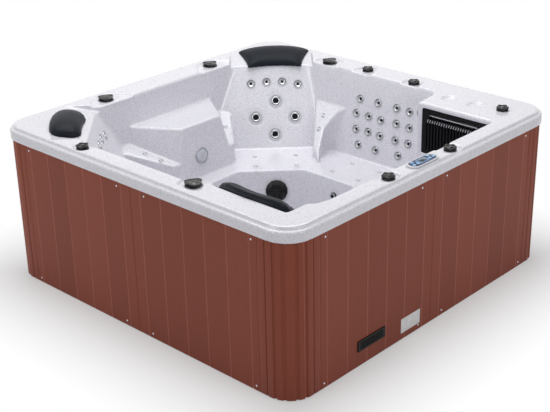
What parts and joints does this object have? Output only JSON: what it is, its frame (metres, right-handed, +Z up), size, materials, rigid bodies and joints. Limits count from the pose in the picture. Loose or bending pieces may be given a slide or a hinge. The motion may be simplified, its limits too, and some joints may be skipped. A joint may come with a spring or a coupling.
{
  "type": "hot tub",
  "caption": "Square lounger hot tub: moulded acrylic shell with jets, head pillows, rim knobs, control panel and filter, in a boarded skirt on a framed base.",
  "frame": {"origin": "centre of the footprint on the ground, under the tub", "axes": "+Z up, -Y towards the side with the control panel, +X towards the side with the filter"},
  "size_m": [2.1, 2.1, 0.9314],
  "materials": {
    "acrylic": "glossy white-grey, fine grey speckle",
    "boards": "satin red-brown wood-look boards",
    "black_plastic": "satin black",
    "pillow": "soft satin black foam skin",
    "grey_plastic": "grey, glossy",
    "chrome": "polished",
    "timber": "sawn",
    "steel": "brushed",
    "overlay": "blue-grey, glossy",
    "button": "pale blue, glossy",
    "lens": "clear lens over a bright reflector",
    "filter_paper": "pleated filter cloth"
  },
  "bodies": {
    "tub": {"acrylic_shell": "acrylic", "back_corner_jets": "grey_plastic", "left_corner_jets": "grey_plastic", "right_wall_jets": "grey_plastic", "lounge_jets": "grey_plastic", "air_injectors": "grey_plastic", "suction_fittings": "grey_plastic", "tub_light": "lens", "filter_cartridge": "filter_paper", "back_corner_pillow": "pillow", "left_corner_pillow": "pillow", "lounge_pillow": "pillow", "control_bezel": "grey_plastic", "control_overlay": "overlay", "back_panel_1": "boards", "back_panel_2": "boards", "back_corner_post": "boards", "back_frame": "timber", "left_panel_1": "boards", "left_panel_2": "boards", "left_corner_post": "boards", "left_frame": "timber", "front_panel_1": "boards", "front_panel_2": "boards", "front_corner_post": "boards", "front_frame": "timber", "right_panel_1": "boards", "right_panel_2": "boards", "right_corner_post": "boards", "right_frame": "timber", "skirt_vent": "black_plastic", "base_pan": "black_plastic", "pump_body": "black_plastic", "spa_pack": "black_plastic", "air_blower": "black_plastic", "drain_valve": "grey_plastic"},
    "left_rear_diverter": {"left_rear_diverter": "black_plastic"},
    "right_rear_diverter": {"right_rear_diverter": "black_plastic"},
    "right_front_diverter": {"right_front_diverter": "black_plastic"},
    "right_middle_air_knob": {"right_middle_air_knob": "black_plastic"},
    "right_side_air_knob": {"right_side_air_knob": "black_plastic"},
    "filter_deck_air_valve": {"filter_deck_air_valve": "black_plastic"},
    "left_side_air_knob": {"left_side_air_knob": "black_plastic"},
    "left_side_diverter": {"left_side_diverter": "black_plastic"},
    "front_left_air_knob": {"front_left_air_knob": "black_plastic"},
    "front_right_air_knob": {"front_right_air_knob": "black_plastic"},
    "control_button_1": {"control_button_1": "button"},
    "control_button_2": {"control_button_2": "button"},
    "control_button_3": {"control_button_3": "button"},
    "control_button_4": {"control_button_4": "button"},
    "control_button_5": {"control_button_5": "button"},
    "control_button_6": {"control_button_6": "button"},
    "rotary_nozzle_1": {"rotary_nozzle_1": "chrome"},
    "rotary_nozzle_2": {"rotary_nozzle_2": "chrome"},
    "rotary_nozzle_3": {"rotary_nozzle_3": "chrome"},
    "rotary_nozzle_4": {"rotary_nozzle_4": "chrome"},
    "filter_grille": {"filter_grille": "black_plastic"},
    "weir_flap": {"weir_flap": "grey_plastic"},
    "pump_rotor": {"pump_rotor": "steel"},
    "drain_handle": {"drain_handle": "steel"}
  },
  "joints": [
    {"name": "left_rear_diverter_turn", "type": "hinge", "parent": "tub", "child": "left_rear_diverter", "pos_m": [-0.4116, 0.93135, 0.868], "axis": [0, 0, 1], "range_deg": [-90, 90]},
    {"name": "right_rear_diverter_turn", "type": "hinge", "parent": "tub", "child": "right_rear_diverter", "pos_m": [0.4053, 0.9345, 0.868], "axis": [0, 0, 1], "range_deg": [-90, 90]},
    {"name": "right_front_diverter_turn", "type": "hinge", "parent": "tub", "child": "right_front_diverter", "pos_m": [0.9135, 0.4116, 0.868], "axis": [0, 0, 1], "range_deg": [-90, 90]},
    {"name": "right_middle_air_turn", "type": "hinge", "parent": "tub", "child": "right_middle_air_knob", "pos_m": [0.93765, 0.1344, 0.868], "axis": [0, 0, 1], "range_deg": [0, 120]},
    {"name": "right_side_air_turn", "type": "hinge", "parent": "tub", "child": "right_side_air_knob", "pos_m": [0.9156, -0.2226, 0.868], "axis": [0, 0, 1], "range_deg": [0, 120]},
    {"name": "filter_deck_air_turn", "type": "hinge", "parent": "tub", "child": "filter_deck_air_valve", "pos_m": [0.83475, -0.87255, 0.88], "axis": [0, 0, 1], "range_deg": [0, 120]},
    {"name": "left_side_air_turn", "type": "hinge", "parent": "tub", "child": "left_side_air_knob", "pos_m": [-0.9681, 0.441, 0.868], "axis": [0, 0, 1], "range_deg": [0, 120]},
    {"name": "left_side_diverter_turn", "type": "hinge", "parent": "tub", "child": "left_side_diverter", "pos_m": [-0.92925, -0.3339, 0.868], "axis": [0, 0, 1], "range_deg": [-90, 90]},
    {"name": "front_left_air_turn", "type": "hinge", "parent": "tub", "child": "front_left_air_knob", "pos_m": [-0.27825, -0.9723, 0.868], "axis": [0, 0, 1], "range_deg": [0, 120]},
    {"name": "front_right_air_turn", "type": "hinge", "parent": "tub", "child": "front_right_air_knob", "pos_m": [0.20475, -0.9807, 0.868], "axis": [0, 0, 1], "range_deg": [0, 120]},
    {"name": "button_1_press", "type": "slide", "parent": "tub", "child": "control_button_1", "axis": [0, 0, -1], "range_m": [0, 0.0015], "stiffness_N_per_m": 400},
    {"name": "button_2_press", "type": "slide", "parent": "tub", "child": "control_button_2", "axis": [0, 0, -1], "range_m": [0, 0.0015], "stiffness_N_per_m": 400},
    {"name": "button_3_press", "type": "slide", "parent": "tub", "child": "control_button_3", "axis": [0, 0, -1], "range_m": [0, 0.0015], "stiffness_N_per_m": 400},
    {"name": "button_4_press", "type": "slide", "parent": "tub", "child": "control_button_4", "axis": [0, 0, -1], "range_m": [0, 0.0015], "stiffness_N_per_m": 400},
    {"name": "button_5_press", "type": "slide", "parent": "tub", "child": "control_button_5", "axis": [0, 0, -1], "range_m": [0, 0.0015], "stiffness_N_per_m": 400},
    {"name": "button_6_press", "type": "slide", "parent": "tub", "child": "control_button_6", "axis": [0, 0, -1], "range_m": [0, 0.0015], "stiffness_N_per_m": 400},
    {"name": "nozzle_1_spin", "type": "hinge", "parent": "tub", "child": "rotary_nozzle_1", "pos_m": [0.65178, 0.62463, 0.64884], "axis": [-0.6325, -0.6325, 0.4471], "continuous": true},
    {"name": "nozzle_2_spin", "type": "hinge", "parent": "tub", "child": "rotary_nozzle_2", "pos_m": [0.53187, 0.68122, 0.55924], "axis": [-0.6325, -0.6325, 0.4471], "continuous": true},
    {"name": "nozzle_3_spin", "type": "hinge", "parent": "tub", "child": "rotary_nozzle_3", "pos_m": [0.70123, 0.51116, 0.55825], "axis": [-0.6325, -0.6325, 0.4471], "continuous": true},
    {"name": "nozzle_4_spin", "type": "hinge", "parent": "tub", "child": "rotary_nozzle_4", "pos_m": [0.5801, 0.56652, 0.46519], "axis": [-0.6325, -0.6325, 0.4471], "continuous": true},
    {"name": "grille_pull", "type": "slide", "parent": "tub", "child": "filter_grille", "axis": [-1, 0, 0], "range_m": [0, 0.2]},
    {"name": "weir_swing", "type": "hinge", "parent": "tub", "child": "weir_flap", "pos_m": [0.69602, -0.68754, 0.698], "axis": [0, 1, 0], "range_deg": [0, 60]},
    {"name": "rotor_spin", "type": "hinge", "parent": "tub", "child": "pump_rotor", "pos_m": [0.6, -0.7602, 0.141], "axis": [1, 0, 0], "continuous": true},
    {"name": "drain_handle_turn", "type": "hinge", "parent": "tub", "child": "drain_handle", "pos_m": [-0.47775, -0.92925, 0.164], "axis": [0, 0, 1], "range_deg": [0, 90]}
  ]
}
